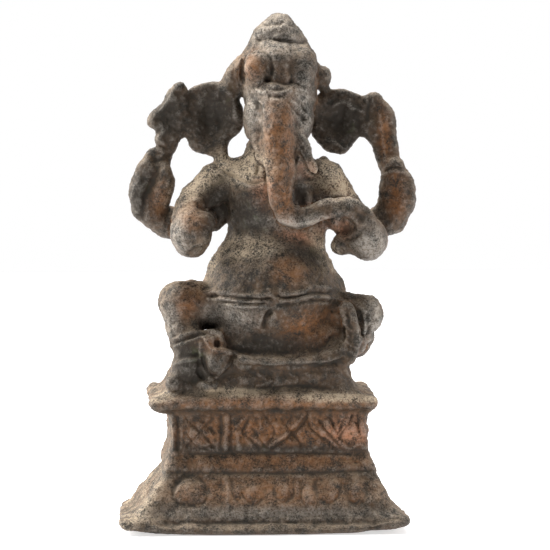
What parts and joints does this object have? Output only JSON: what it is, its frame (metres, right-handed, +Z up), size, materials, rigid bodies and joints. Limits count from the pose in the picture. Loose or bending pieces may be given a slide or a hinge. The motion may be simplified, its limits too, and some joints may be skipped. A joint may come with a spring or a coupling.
{
  "type": "ganesh figure",
  "caption": "Small cast bronze Ganesh, seated cross-legged on a tall moulded rectangular pedestal, for a shelf or household shrine.",
  "frame": {"origin": "centre of the whole object's bounding box in plan, at the underside of the pedestal", "axes": "+Z up; the figure faces -Y; +X is to the right of someone who looks at its front"},
  "size_m": [0.0586, 0.0388, 0.0994],
  "materials": {
    "bronze": "old dark brown patina, grainy as cast, dust in the hollows and rubbed brighter on high places"
  },
  "bodies": {
    "root": {"ganesh_casting": "bronze"}
  },
  "joints": []
}
